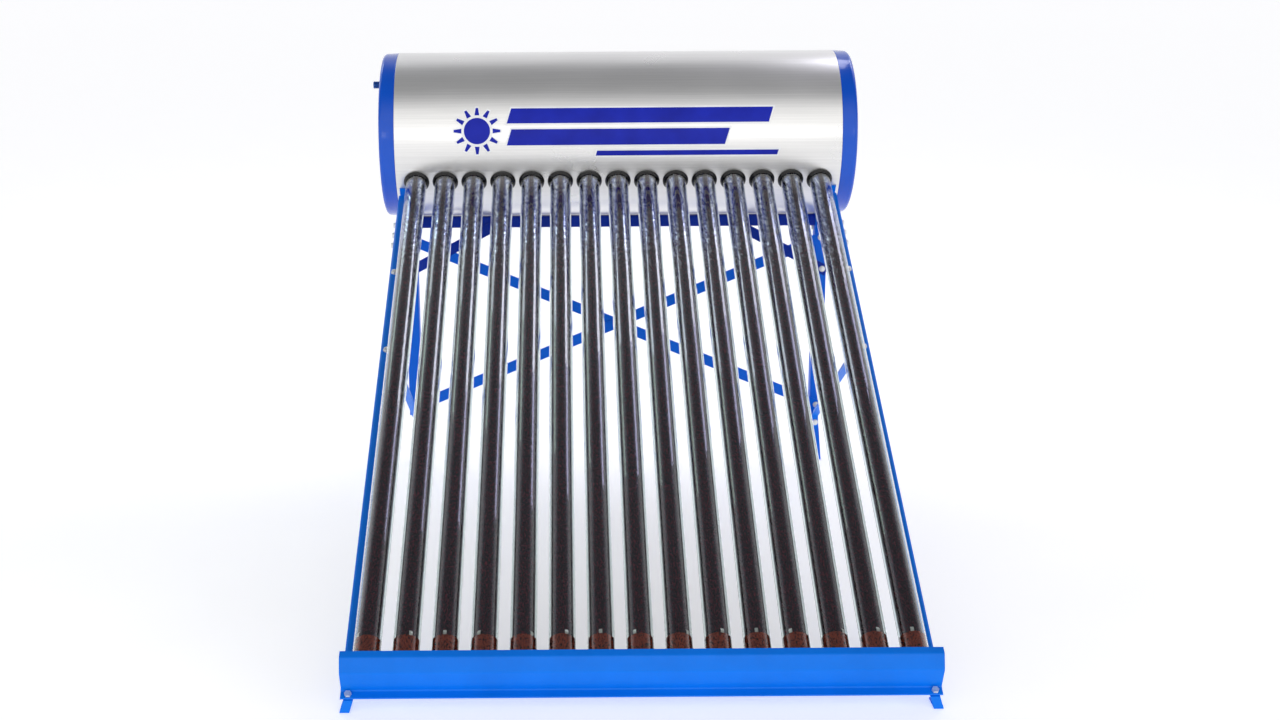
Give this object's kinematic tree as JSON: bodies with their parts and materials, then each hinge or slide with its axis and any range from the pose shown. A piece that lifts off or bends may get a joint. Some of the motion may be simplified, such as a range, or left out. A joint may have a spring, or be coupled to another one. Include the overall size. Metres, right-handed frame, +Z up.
{
  "type": "solar water heater",
  "caption": "Thermosiphon solar water heater: evacuated glass tubes slope from an insulated horizontal tank down to a blue folded-steel trough on a braced stand.",
  "frame": {"origin": "centre of the bounding box, on the ground under the feet", "axes": "+X along the tank, to the right seen from the front; -Y to the front, where the tubes run down; +Z up"},
  "size_m": [1.3545, 1.9569, 1.2166],
  "materials": {
    "satin_silver_sheet": "satin",
    "cap_blue": "gloss",
    "blue_enamel": "gloss",
    "tube_glass": "gloss",
    "black_rubber": "matte",
    "black_plastic": "matte",
    "stainless": "brushed",
    "foam": "matte",
    "pipe_metal": "satin",
    "zinc_plate": "satin"
  },
  "bodies": {
    "heater": {"dust_ring_01": "black_rubber", "dust_ring_02": "black_rubber", "dust_ring_03": "black_rubber", "dust_ring_04": "black_rubber", "dust_ring_05": "black_rubber", "dust_ring_06": "black_rubber", "dust_ring_07": "black_rubber", "dust_ring_08": "black_rubber", "dust_ring_09": "black_rubber", "dust_ring_10": "black_rubber", "dust_ring_11": "black_rubber", "dust_ring_12": "black_rubber", "dust_ring_13": "black_rubber", "dust_ring_14": "black_rubber", "dust_ring_15": "black_rubber", "outer_shell": "satin_silver_sheet", "left_end_cap": "cap_blue", "right_end_cap": "cap_blue", "water_tank": "stainless", "insulation": "foam", "hot_outlet": "pipe_metal", "cold_inlet": "pipe_metal", "air_vent": "pipe_metal", "tube_cups": "black_plastic", "cross_rail": "blue_enamel", "cross_brace_front": "blue_enamel", "cross_brace_rear": "blue_enamel", "trough_cover": "blue_enamel", "trough_tray": "blue_enamel", "left_side_rail": "blue_enamel", "left_tank_saddle": "blue_enamel", "left_rear_leg": "blue_enamel", "left_rear_foot": "blue_enamel", "left_knee_brace": "blue_enamel", "left_side_strut": "blue_enamel", "left_front_foot": "blue_enamel", "left_lip_bolt": "zinc_plate", "right_side_rail": "blue_enamel", "right_tank_saddle": "blue_enamel", "right_rear_leg": "blue_enamel", "right_rear_foot": "blue_enamel", "right_knee_brace": "blue_enamel", "right_side_strut": "blue_enamel", "right_front_foot": "blue_enamel", "right_lip_bolt": "zinc_plate"},
    "tube_01_body": {"tube_01": "tube_glass"},
    "tube_02_body": {"tube_02": "tube_glass"},
    "tube_03_body": {"tube_03": "tube_glass"},
    "tube_04_body": {"tube_04": "tube_glass"},
    "tube_05_body": {"tube_05": "tube_glass"},
    "tube_06_body": {"tube_06": "tube_glass"},
    "tube_07_body": {"tube_07": "tube_glass"},
    "tube_08_body": {"tube_08": "tube_glass"},
    "tube_09_body": {"tube_09": "tube_glass"},
    "tube_10_body": {"tube_10": "tube_glass"},
    "tube_11_body": {"tube_11": "tube_glass"},
    "tube_12_body": {"tube_12": "tube_glass"},
    "tube_13_body": {"tube_13": "tube_glass"},
    "tube_14_body": {"tube_14": "tube_glass"},
    "tube_15_body": {"tube_15": "tube_glass"}
  },
  "joints": [
    {"name": "tube_01_slide", "type": "slide", "parent": "heater", "child": "tube_01_body", "axis": [0, 0.8829, 0.4695], "range_m": [0, 0.03]},
    {"name": "tube_02_slide", "type": "slide", "parent": "heater", "child": "tube_02_body", "axis": [0, 0.8829, 0.4695], "range_m": [0, 0.03]},
    {"name": "tube_03_slide", "type": "slide", "parent": "heater", "child": "tube_03_body", "axis": [0, 0.8829, 0.4695], "range_m": [0, 0.03]},
    {"name": "tube_04_slide", "type": "slide", "parent": "heater", "child": "tube_04_body", "axis": [0, 0.8829, 0.4695], "range_m": [0, 0.03]},
    {"name": "tube_05_slide", "type": "slide", "parent": "heater", "child": "tube_05_body", "axis": [0, 0.8829, 0.4695], "range_m": [0, 0.03]},
    {"name": "tube_06_slide", "type": "slide", "parent": "heater", "child": "tube_06_body", "axis": [0, 0.8829, 0.4695], "range_m": [0, 0.03]},
    {"name": "tube_07_slide", "type": "slide", "parent": "heater", "child": "tube_07_body", "axis": [0, 0.8829, 0.4695], "range_m": [0, 0.03]},
    {"name": "tube_08_slide", "type": "slide", "parent": "heater", "child": "tube_08_body", "axis": [0, 0.8829, 0.4695], "range_m": [0, 0.03]},
    {"name": "tube_09_slide", "type": "slide", "parent": "heater", "child": "tube_09_body", "axis": [0, 0.8829, 0.4695], "range_m": [0, 0.03]},
    {"name": "tube_10_slide", "type": "slide", "parent": "heater", "child": "tube_10_body", "axis": [0, 0.8829, 0.4695], "range_m": [0, 0.03]},
    {"name": "tube_11_slide", "type": "slide", "parent": "heater", "child": "tube_11_body", "axis": [0, 0.8829, 0.4695], "range_m": [0, 0.03]},
    {"name": "tube_12_slide", "type": "slide", "parent": "heater", "child": "tube_12_body", "axis": [0, 0.8829, 0.4695], "range_m": [0, 0.03]},
    {"name": "tube_13_slide", "type": "slide", "parent": "heater", "child": "tube_13_body", "axis": [0, 0.8829, 0.4695], "range_m": [0, 0.03]},
    {"name": "tube_14_slide", "type": "slide", "parent": "heater", "child": "tube_14_body", "axis": [0, 0.8829, 0.4695], "range_m": [0, 0.03]},
    {"name": "tube_15_slide", "type": "slide", "parent": "heater", "child": "tube_15_body", "axis": [0, 0.8829, 0.4695], "range_m": [0, 0.03]}
  ]
}
